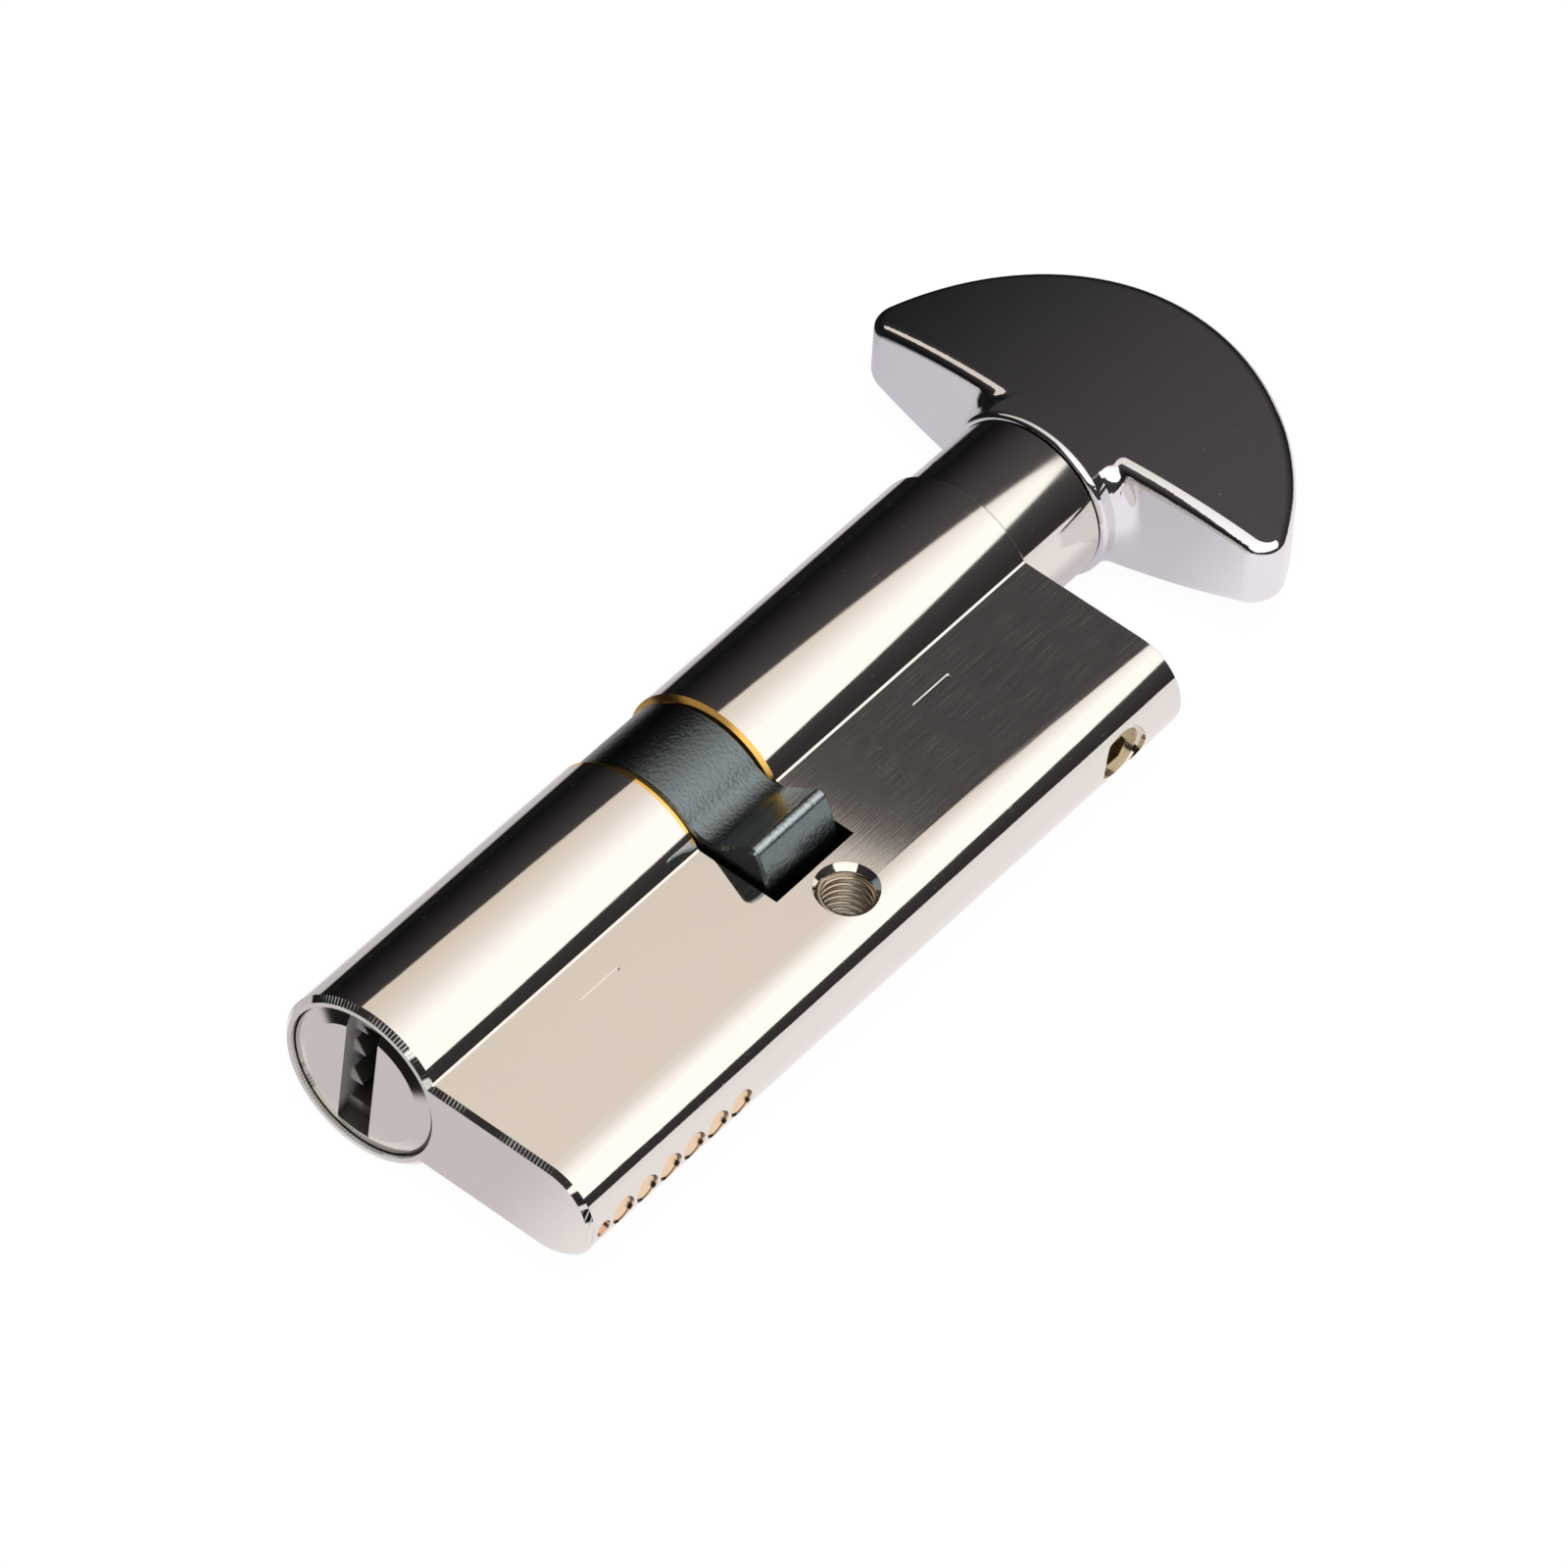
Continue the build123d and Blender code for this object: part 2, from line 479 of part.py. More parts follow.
# Pin in the shaft's groove, and the socket screw that closes its hole
with BuildPart() as retaining_pin:
    plane = pin_plane(RETAINER_PLACE)
    radius = RETAINING_PIN_DIAMETER / 2
    outline = [(RETAINING_PIN_INNER, radius), (RETAINING_SCREW_INNER - FIXED_GAP, radius)]
    revolve(half_section(plane, outline), axis=Axis(plane.origin, plane.x_dir))
retaining_pin.part.label = "retaining_pin"
export_step(retaining_pin.part, "parts/retaining_pin.step")

with BuildPart() as retaining_screw:
    with BuildSketch(DOWN.offset(RETAINING_SCREW_INNER)):
        with Locations((RETAINER_PLACE, 0)):
            Circle(RETAINING_SCREW_DIAMETER / 2)
    extrude(amount=RETAINING_SCREW_LENGTH)
    with BuildSketch(DOWN.offset(RETAINING_SCREW_OUTER)):
        with Locations((RETAINER_PLACE, 0)):
            RegularPolygon(RETAINING_SOCKET / 2, 6, major_radius=False)
    extrude(amount=-RETAINING_SOCKET_DEPTH, mode=Mode.SUBTRACT)
retaining_screw.part.label = "retaining_screw"
export_step(retaining_screw.part, "parts/retaining_screw.step")

# Thumb knob: half-moon wing, thinner towards its tips, blended into a round collar
with BuildPart() as thumb_knob:
    tip = (COLLAR_LENGTH + WING_SWEEP, WING_SPAN / 2)
    with BuildSketch(KNOB_PLAN) as plan:
        with BuildLine():
            Polyline(tip, (COLLAR_LENGTH, 0), (tip[0], -tip[1]))
            ThreePointArc((tip[0], -tip[1]), (WING_REACH, 0), tip)
        make_face()
        fillet(plan.vertices().sort_by(Axis.X)[1:], WING_TIP_ROUND)
    extrude(amount=WING_THICKNESS, both=True)
    side = WING_SPAN / 2
    edge = WING_TIP_THICKNESS / 2
    with BuildSketch(KNOB_ACROSS):
        with BuildLine():
            ThreePointArc((-side, edge), (0, WING_THICKNESS / 2), (side, edge))
            Line((side, edge), (side, -edge))
            ThreePointArc((side, -edge), (0, -WING_THICKNESS / 2), (-side, -edge))
            Line((-side, -edge), (-side, edge))
        make_face()
    extrude(amount=2 * WING_REACH, mode=Mode.INTERSECT)
    fillet(thumb_knob.edges(), WING_EDGE_ROUND)
    with BuildPart(mode=Mode.PRIVATE) as hood:
        with BuildSketch(KNOB_ACROSS):
            Circle(COLLAR_RADIUS)
        extrude(amount=HOOD_START)
        with BuildSketch(KNOB_ACROSS.offset(HOOD_START)):
            Circle(COLLAR_RADIUS)
        with BuildSketch(KNOB_ACROSS.offset(HOOD_END)):
            Ellipse(HOOD_WIDTH / 2, WING_THICKNESS / 2 - HOOD_SINK)
        loft()
    add(hood.part)
    fillet(thumb_knob.edges(Select.NEW), WING_ROOT_ROUND)
    fillet(thumb_knob.faces().sort_by(Axis.X)[0].edges(), COLLAR_ROUND)
    spigot = SPIGOT_DIAMETER / 2 + FIXED_GAP
    bore = [(COLLAR_FRONT, spigot), (SPIGOT_END + END_GAP, spigot)]
    revolve(half_section(ALONG, bore), axis=BARREL_AXIS, mode=Mode.SUBTRACT)
    with BuildSketch(KNOB_UNDER):
        with Locations((SET_SCREW_PLACE, 0)):
            Circle(SET_SCREW_DIAMETER / 2 + FIXED_GAP)
    extrude(amount=COLLAR_DIAMETER, mode=Mode.SUBTRACT)
thumb_knob.part.label = "thumb_knob"
export_step(thumb_knob.part, "parts/thumb_knob.step")

# Set screw that presses on the shaft's spigot
with BuildPart() as knob_set_screw:
    with BuildSketch(KNOB_UNDER.offset(SET_SCREW_INNER)):
        with Locations((SET_SCREW_PLACE, 0)):
            Circle(SET_SCREW_DIAMETER / 2)
    extrude(amount=SET_SCREW_LENGTH)
    with BuildSketch(KNOB_UNDER.offset(SET_SCREW_INNER + SET_SCREW_LENGTH)):
        with Locations((SET_SCREW_PLACE, 0)):
            RegularPolygon(SET_SCREW_SOCKET / 2, 6, major_radius=False)
    extrude(amount=-SET_SCREW_SOCKET_DEPTH, mode=Mode.SUBTRACT)
knob_set_screw.part.label = "knob_set_screw"
export_step(knob_set_screw.part, "parts/knob_set_screw.step")
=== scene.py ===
# %% [markdown]
# A lock cylinder with a thumb knob
#
# The solids of this lock come from CAD and are already true to size. Blender gives them their looks: the
# polished nickel, the bright chrome, the dark cam, the brass, and the studio that all of that metal mirrors.
# Polished metal has hardly any colour of its own, so most of the work is the room around it.

# %% Load the solids
import json
from math import pi, radians

import bpy
from mathutils import Matrix, Vector

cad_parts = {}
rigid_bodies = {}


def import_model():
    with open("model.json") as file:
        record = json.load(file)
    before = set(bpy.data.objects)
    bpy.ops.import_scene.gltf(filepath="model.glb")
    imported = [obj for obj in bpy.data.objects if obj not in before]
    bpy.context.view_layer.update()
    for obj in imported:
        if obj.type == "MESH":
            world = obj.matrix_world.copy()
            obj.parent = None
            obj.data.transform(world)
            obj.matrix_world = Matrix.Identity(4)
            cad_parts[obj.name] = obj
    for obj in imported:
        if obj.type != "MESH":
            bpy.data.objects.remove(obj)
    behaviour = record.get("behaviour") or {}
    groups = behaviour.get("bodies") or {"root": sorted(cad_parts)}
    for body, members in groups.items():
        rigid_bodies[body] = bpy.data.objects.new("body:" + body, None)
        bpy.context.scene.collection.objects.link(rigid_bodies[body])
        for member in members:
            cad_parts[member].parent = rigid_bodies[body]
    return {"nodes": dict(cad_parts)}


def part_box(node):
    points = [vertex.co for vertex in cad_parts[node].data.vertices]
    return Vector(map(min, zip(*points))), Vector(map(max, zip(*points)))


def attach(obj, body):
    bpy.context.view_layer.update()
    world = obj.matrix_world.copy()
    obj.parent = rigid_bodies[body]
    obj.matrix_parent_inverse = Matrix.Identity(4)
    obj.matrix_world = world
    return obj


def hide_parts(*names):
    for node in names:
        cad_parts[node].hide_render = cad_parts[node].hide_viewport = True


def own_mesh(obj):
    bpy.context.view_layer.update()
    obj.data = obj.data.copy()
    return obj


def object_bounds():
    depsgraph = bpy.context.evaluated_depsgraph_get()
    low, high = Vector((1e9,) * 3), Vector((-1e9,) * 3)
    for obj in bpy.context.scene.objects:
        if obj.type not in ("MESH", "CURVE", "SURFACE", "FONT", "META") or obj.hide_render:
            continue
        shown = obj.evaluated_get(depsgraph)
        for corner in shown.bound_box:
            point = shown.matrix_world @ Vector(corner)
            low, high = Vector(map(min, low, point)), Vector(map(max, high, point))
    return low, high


for leftover in list(bpy.data.objects):
    bpy.data.objects.remove(leftover)
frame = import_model()
nodes = frame["nodes"]
cad_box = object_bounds()
scene = bpy.context.scene
scene.view_settings.view_transform = "Standard"
MM = 0.001

# %% [markdown]
# The camera
#
# The picture is taken from far off with a long lens, so the long edges stay almost parallel. A camera is a
# place, a direction to look along and a direction that is upward in the picture. Those three come from
# fitting known corners of the lock to the picture.

# %% Camera
EYE = Vector((-585.14, -366.94, 798.93)) * MM
AHEAD = Vector((0.55752, 0.35696, -0.74950))
PICTURE_UP = Vector((0.55029, 0.51707, 0.65561))
LENS = 289.6
SENSOR = 36.0
CLIP = (0.05, 50)


def camera_matrix(eye, ahead, upward):
    """Blender's camera looks along its own -Z axis, with +Y upward in the picture."""
    back = -ahead.normalized()
    right = upward.cross(back).normalized()
    turn = Matrix((right, back.cross(right), back)).transposed()
    return Matrix.Translation(eye) @ turn.to_4x4()


lens = bpy.data.cameras.new("camera")
lens.lens = LENS
lens.sensor_width = SENSOR
lens.clip_start = CLIP[0]
lens.clip_end = CLIP[1]
camera = bpy.data.objects.new("camera", lens)
camera.matrix_world = camera_matrix(EYE, AHEAD, PICTURE_UP)
scene.collection.objects.link(camera)
scene.camera = camera
print("camera at", tuple(round(part, 3) for part in camera.location))

# %% [markdown]
# Node trees in Python
#
# Materials, the world and Geometry Nodes are all node trees. Two small classes make them readable. Graph adds
# a node of any type: its settings are set first, then its sockets get values or links. Wire holds one output,
# and arithmetic on a Wire adds Math nodes, so that a mask can be written as a formula.


# %% Wire and Graph
class Wire:
    """One output of a node. Arithmetic on it adds Math nodes."""

    def __init__(self, graph, socket):
        self.graph = graph
        self.socket = socket

    def maths(self, operation, *values):
        return self.graph.add("ShaderNodeMath", {"operation": operation}, dict(enumerate(values)))

    def output(self, name):
        return Wire(self.graph, self.socket.node.outputs[name])

    def __add__(self, other):
        return self.maths("ADD", self, other)

    def __sub__(self, other):
        return self.maths("SUBTRACT", self, other)

    def __rsub__(self, other):
        return self.maths("SUBTRACT", other, self)

    def __mul__(self, other):
        return self.maths("MULTIPLY", self, other)

    def __pow__(self, other):
        return self.maths("POWER", self, other)

    def __abs__(self):
        return self.maths("ABSOLUTE", self)

    __radd__ = __add__
    __rmul__ = __mul__


class Graph:
    """A node tree that grows by one node at a time."""

    def __init__(self, tree):
        self.tree = tree
        tree.nodes.clear()

    def add(self, kind, settings=None, values=None, output=0):
        node = self.tree.nodes.new(kind)
        for name, value in (settings or {}).items():
            if name == "stops":
                self.set_stops(node.color_ramp, value)
            else:
                setattr(node, name, value)
        for key, value in (values or {}).items():
            if isinstance(value, Wire):
                self.tree.links.new(value.socket, node.inputs[key])
            else:
                node.inputs[key].default_value = value
        return Wire(self, node.outputs[output]) if len(node.outputs) else node

    def set_stops(self, ramp, stops):
        while len(ramp.elements) < len(stops):
            ramp.elements.new(1.0)
        for element, (place, colour) in zip(ramp.elements, stops):
            element.position = place
            element.color = (*colour, 1)

    def ramp(self, factor, stops):
        return self.add("ShaderNodeValToRGB", {"stops": stops}, {"Fac": factor})

    def rise(self, value, low, high):
        """0 below low, 1 above high, and smooth between them."""
        values = {"Value": value, "From Min": low, "From Max": high}
        return self.add("ShaderNodeMapRange", {"interpolation_type": "SMOOTHSTEP"}, values)

    def blend(self, factor, first, second):
        """One colour fading into another."""
        values = {"Factor": factor, 6: first, 7: second}
        return self.add("ShaderNodeMix", {"data_type": "RGBA"}, values, output=2)

    def parts(self, vector):
        first = self.add("ShaderNodeSeparateXYZ", values={0: vector})
        return first, first.output("Y"), first.output("Z")


def rgb(red, green, blue):
    """A colour for a node's socket."""
    return (red, green, blue, 1.0)


print("node helpers ready")

# %% [markdown]
# The studio
#
# The lock lies on a white table under one large diffuser, in a room that is otherwise dark. The diffuser
# glows beige on its far side and white on its near side. Seen in the barrel it becomes the beige and white
# band, and where the diffuser ends, the dark room becomes the black bands. A low white card stands along the
# near side. Cards that only metal should see are hidden from the camera and cast no shadow.


# %% Table
def stage_sheet(name, corners, material):
    """A flat card of the studio, which isn't part of the lock."""
    mesh = bpy.data.meshes.new(name)
    mesh.from_pydata([Vector(corner) * MM for corner in corners], [], [tuple(range(len(corners)))])
    mesh.materials.append(material)
    card = bpy.data.objects.new(name, mesh)
    scene.collection.objects.link(card)
    return card


def mirrored_only(card):
    """The card shows in reflections, and nowhere else."""
    card.visible_camera = False
    card.visible_diffuse = False
    card.visible_shadow = False


def stage_graph(name):
    material = bpy.data.materials.new(name)
    material.use_nodes = True
    return material, Graph(material.node_tree)


def place_in_mm(graph):
    geometry = graph.add("ShaderNodeNewGeometry")
    return graph.add("ShaderNodeVectorMath", {"operation": "SCALE"}, {0: geometry, "Scale": 1 / MM})


TABLE_HALF = 4000
TABLE_GLOW = 0.94
TABLE_SHADE = 0.09
TABLE_BOUNCE = rgb(0.85, 0.85, 0.85)
TABLE_MIRRORED = rgb(0.92, 0.88, 0.90)
TABLE_SHADED = rgb(0.62, 0.58, 0.62)
TABLE_FAR = rgb(0.012, 0.012, 0.012)
TABLE_SLANT = 0.56
TABLE_FADE = (64, 86)
TABLE_BACK = rgb(0.55, 0.52, 0.55)
BACK_STEP = (35, 43)
KEY_END_FADE = (-54, -58.5)
KEY_END_SHADE = (-39, -44)
KNOB_SHADE = (33, 39)
SHADE_NEAR = (-3, 8)
SHADE_FAR = (54, 46)

table_finish, graph = stage_graph("white_table")
along, across, _ = graph.parts(place_in_mm(graph))
rays = graph.add("ShaderNodeLightPath")
glossy = rays.output("Is Glossy Ray")
shown = rays + glossy + rays.output("Is Transmission Ray")
# What metal mirrors of the table is painted: painted shade past the key end and toward the knob, a darker
# band further back, and dark further off. The camera sees the table plain white.
far = graph.rise(across + TABLE_SLANT * along, *TABLE_FADE)
beyond = graph.rise(along, *KEY_END_FADE)
unlit = glossy * far.maths("MAXIMUM", far, beyond)
shaded = graph.rise(along, *KEY_END_SHADE) + graph.rise(along, *KNOB_SHADE)
shaded = shaded * graph.rise(across, *SHADE_NEAR) * graph.rise(across, *SHADE_FAR)
mirrored = graph.blend(graph.rise(across, *BACK_STEP), TABLE_MIRRORED, TABLE_BACK)
mirrored = graph.blend(shaded, graph.blend(far, mirrored, TABLE_FAR), TABLE_SHADED)
mirrored = graph.blend(beyond, mirrored, TABLE_FAR)
glow = graph.blend(glossy, rgb(1, 1, 1), mirrored)
lit = graph.add("ShaderNodeEmission", values={"Color": glow, "Strength": TABLE_GLOW})
shade_colour = graph.blend(unlit, rgb(TABLE_SHADE, TABLE_SHADE, TABLE_SHADE), rgb(0, 0, 0))
shade = graph.add("ShaderNodeBsdfDiffuse", values={"Color": shade_colour})
seen = graph.add("ShaderNodeAddShader", values={0: lit, 1: shade})
bounce = graph.add("ShaderNodeBsdfDiffuse", values={"Color": TABLE_BOUNCE})
table_shader = graph.add("ShaderNodeMixShader", values={0: shown, 1: bounce, 2: seen})
graph.add("ShaderNodeOutputMaterial", values={"Surface": table_shader})

table_top = cad_box[0].z / MM
table_signs = [(-1, -1), (1, -1), (1, 1), (-1, 1)]
table_corners = [(x * TABLE_HALF, y * TABLE_HALF, table_top) for x, y in table_signs]
stage_sheet("table", table_corners, table_finish)
print("table at", round(table_top, 2), "mm")

# %% Diffuser, low card and dark room
DIFFUSER_HEIGHT = 250
DIFFUSER_EDGE = [(100, 600), (150, 269), (172, 182), (186, 116), (200, 61), (214, 9), (245, -102)]
DIFFUSER_EDGE += [(260, -175), (282, -277), (306, -470)]
DIFFUSER_BACK = [(-600, -470), (-600, -200), (-330, -60), (-60, 20), (-60, 600)]
DIFFUSER_RANGE = (170, -80)
DIFFUSER_STOPS = [(0.0, (0.80, 0.71, 0.63)), (0.45, (0.92, 0.85, 0.79))]
DIFFUSER_STOPS += [(0.65, (1.06, 1.0, 0.97)), (1.0, (1.28, 1.26, 1.24))]
CARD_PLACE = -300
CARD_TOP = 46
CARD_ENDS = (-600, 900)
ROOM_RADIUS = 3000
ROOM_SEGMENTS = 48
ROOM_RINGS = 24
ROOM_DARK = 0.008
ROOM_HIGH = 0.11
ROOM_NEAR = 0.03
ROOM_GREEN = 0.90
ROOM_BLUE = 0.95


def glowing(name, colour_of):
    """A card that glows with the colour that colour_of works out from its place."""
    material, graph = stage_graph(name)
    light = graph.add("ShaderNodeEmission", values={"Color": colour_of(graph, place_in_mm(graph))})
    graph.add("ShaderNodeOutputMaterial", values={"Surface": light})
    return material


def diffuser_colour(graph, place):
    across = graph.parts(place)[1]
    values = {"Value": across, "From Min": DIFFUSER_RANGE[0], "From Max": DIFFUSER_RANGE[1]}
    return graph.ramp(graph.add("ShaderNodeMapRange", values=values), DIFFUSER_STOPS)


def room_colour(graph, place):
    _, y, z = graph.parts(graph.add("ShaderNodeVectorMath", {"operation": "NORMALIZE"}, {0: place}))
    height = z.maths("MAXIMUM", z, 0.0)
    near = y.maths("MAXIMUM", -1 * y, 0.0)
    light = ROOM_DARK + ROOM_HIGH * height * height + ROOM_NEAR * near
    tinted = {0: light, 1: light * ROOM_GREEN, 2: light * ROOM_BLUE}
    return graph.add("ShaderNodeCombineColor", values=tinted)


diffuser_corners = [(x, y, DIFFUSER_HEIGHT) for x, y in DIFFUSER_EDGE + DIFFUSER_BACK]
diffuser = stage_sheet("diffuser", diffuser_corners, glowing("diffuser", diffuser_colour))
card_corners = [(CARD_ENDS[0], CARD_PLACE, table_top), (CARD_ENDS[1], CARD_PLACE, table_top)]
card_corners += [(CARD_ENDS[1], CARD_PLACE, CARD_TOP), (CARD_ENDS[0], CARD_PLACE, CARD_TOP)]
card = stage_sheet("low_card", card_corners, glowing("low_card", lambda graph, place: TABLE_MIRRORED))
bpy.ops.mesh.primitive_uv_sphere_add(
    segments=ROOM_SEGMENTS, ring_count=ROOM_RINGS, radius=ROOM_RADIUS * MM
)
room = bpy.context.object
room.name = "dark_room"
room.data.materials.append(glowing("dark_room", room_colour))
for piece in (diffuser, card, room):
    mirrored_only(piece)
print("studio cards:", diffuser.name, card.name, room.name)

# %% Lamp and world
LAMP_POWER = 4.5
LAMP_SIZE = 0.7
LAMP_PLACE = Vector((-0.15, -0.1, 0.75))
WORLD_FILL = 0.4

lamp = bpy.data.lights.new("soft_lamp", "AREA")
lamp.energy = LAMP_POWER
lamp.size = LAMP_SIZE
lamp_holder = bpy.data.objects.new("soft_lamp", lamp)
lamp_holder.location = LAMP_PLACE
lamp_holder.rotation_mode = "QUATERNION"
lamp_holder.rotation_quaternion = (-LAMP_PLACE).to_track_quat("-Z", "Y")
lamp_holder.visible_glossy = False
scene.collection.objects.link(lamp_holder)

world = bpy.data.worlds.new("white_surround")
world.use_nodes = True
graph = Graph(world.node_tree)
rays = graph.add("ShaderNodeLightPath")
shown = rays + rays.output("Is Glossy Ray") + rays.output("Is Transmission Ray")
strength = WORLD_FILL + (1 - WORLD_FILL) * shown
sky = graph.add("ShaderNodeBackground", values={"Color": rgb(1, 1, 1), "Strength": strength})
graph.add("ShaderNodeOutputWorld", values={"Surface": sky})
scene.world = world
print("lamp and world set")

# %% [markdown]
# Finishes
#
# Every finish reads Object coordinates in millimetres, so that a scratch keeps its size and its place on the
# piece. Polished metal is a Metallic surface with low roughness. What tells plated brass from a plain mirror
# is small: faint lines along the stroke of the polishing wheel, a few specks, and roughness that drifts.


# %% Finish helper
AXIS_PLACE = 18.7


class Finish(Graph):
    """A metal finish for one kind of piece of the lock."""

    def __init__(self, name):
        self.material = bpy.data.materials.new(name)
        self.material.use_nodes = True
        super().__init__(self.material.node_tree)
        place = self.add("ShaderNodeTexCoord").output("Object")
        self.point = self.add("ShaderNodeVectorMath", {"operation": "SCALE"}, {0: place, "Scale": 1 / MM})
        self.x, self.y, self.z = self.parts(self.point)

    def noise(self, stretch, detail=2.0):
        """Cloudy noise whose grain is one over stretch, in millimetres."""
        place = self.add("ShaderNodeVectorMath", {"operation": "MULTIPLY"}, {0: self.point, 1: stretch})
        return self.add("ShaderNodeTexNoise", values={"Vector": place, "Scale": 1.0, "Detail": detail})

    def grain(self, height, depth):
        """A bump of the given depth in millimetres."""
        return self.add("ShaderNodeBump", values={"Height": height, "Distance": depth * MM})

    def from_axis(self):
        """How far the point is from the barrel's axis."""
        aside = self.y - AXIS_PLACE
        return (aside * aside + self.z * self.z) ** 0.5

    def lean(self, factor, normal, direction):
        """A normal that leans over to another direction."""
        values = {"Factor": factor, 4: normal, 5: direction}
        return self.add("ShaderNodeMix", {"data_type": "VECTOR"}, values, output=1)

    def band(self, value, low, high, soft):
        """1 between low and high, and 0 outside them."""
        return self.rise(value, low - soft, low) * self.rise(value, high + soft, high)

    def metal(self, colour, roughness, normal=None, metallic=1.0):
        values = {"Base Color": colour, "Roughness": roughness, "Metallic": metallic}
        if normal:
            values["Normal"] = normal
        surface = self.add("ShaderNodeBsdfPrincipled", values=values)
        self.add("ShaderNodeOutputMaterial", values={"Surface": surface})
        return self.material


print("finish helper ready")

# %% Nickel on the body
BRASS = rgb(0.95, 0.58, 0.15)
SCUFF = rgb(0.80, 0.78, 0.75)
SLOT_BRASS_SHADE = rgb(0.12, 0.085, 0.04)
GAP_SHADE = rgb(0.10, 0.095, 0.09)
KEYWAY_SHADE = rgb(0.16, 0.145, 0.13)
MOUTH_GREY = rgb(0.50, 0.48, 0.47)
NICKEL = rgb(0.80, 0.77, 0.725)
NICKEL_WARM = rgb(0.82, 0.78, 0.72)
SLOT_WALL = 5.2
SLOT_WEAR = 0.36
SLOT_FLOOR = 3.5
FLAT = 5.0
KEY_SIDE = 40.5
KNOB_SIDE = 39.5
KEYWAY_SIDES = (17.45, 20.75)
KEYWAY_SLANT = 0.0524  # sideways for each millimetre of depth, as in the solid
KEYWAY_END = -6
KEYWAY_REACH = (6.3, 6.1)
MOUTH_FADE = (-37, -38.5)
HEAD_FADE = (-38, -39)
KEYWAY_MOUTH = 1.6
KEYWAY_FOOT = -6.1
BARREL_RADIUS = 8.5
CORNER_PLACE = 11.826
CORNER_LEAN = (-0.36, 0.93)
SLOT_LEAN = (-0.45, 0.89)
CHATTER_PITCH = 0.36
CHATTER_SPAN = (0.02, 0.48)
KNOB_BEVEL = (0.18, 0.05)
KEY_BEVEL = 0.45
PLUG_GAP_END = -30
BODY_GRAIN = 0.0012
TURNED_GRAIN = 0.0008
PLUG_BORE = 7.57
PLUG_HEAD = 7.45


def chatter(finish):
    """Short marks that the cutter left all along the key end's bevel."""
    bevel = finish.band(finish.x, -KEY_SIDE + CHATTER_SPAN[0], -KEY_SIDE + CHATTER_SPAN[1], 0.02)
    turn = finish.z.maths("ARCTAN2", finish.z, finish.y - AXIS_PLACE)
    on_barrel = finish.rise(finish.y, CORNER_PLACE, CORNER_PLACE + 0.1)
    along = on_barrel * (turn * BARREL_RADIUS) + (1 - on_barrel) * finish.y
    wave = along.maths("SINE", along * (2 * pi / CHATTER_PITCH))
    patches = finish.rise(finish.noise((0.22, 0.22, 0.22)), 0.42, 0.62)
    return bevel * patches * finish.rise(wave + 2 * finish.noise((0.5, 0.5, 0.5)), 1.3, 1.8)


def corner_line(finish):
    """The narrow round corner between the barrel and the flat."""
    up = abs(finish.z) - FLAT
    aside = finish.y - CORNER_PLACE
    return finish.rise((up * up + aside * aside) ** 0.5, 0.15, 0.10)


def slot_normal(finish, slot, normal):
    """The barrel's edge beside the slot is rounded off, so there the normal leans outward."""
    radius = finish.from_axis()
    outward = finish.rise(radius, BARREL_RADIUS - 0.95, BARREL_RADIUS - 0.75)
    aside = (finish.y - AXIS_PLACE).maths("DIVIDE", finish.y - AXIS_PLACE, radius)
    upward = radius.maths("DIVIDE", finish.z, radius)
    back = finish.x.maths("SIGN", finish.x)
    lean = {"X": SLOT_LEAN[0] * back, "Y": SLOT_LEAN[1] * aside, "Z": SLOT_LEAN[1] * upward}
    leaning = finish.add("ShaderNodeCombineXYZ", values=lean)
    return finish.lean(outward * slot, normal, leaning)


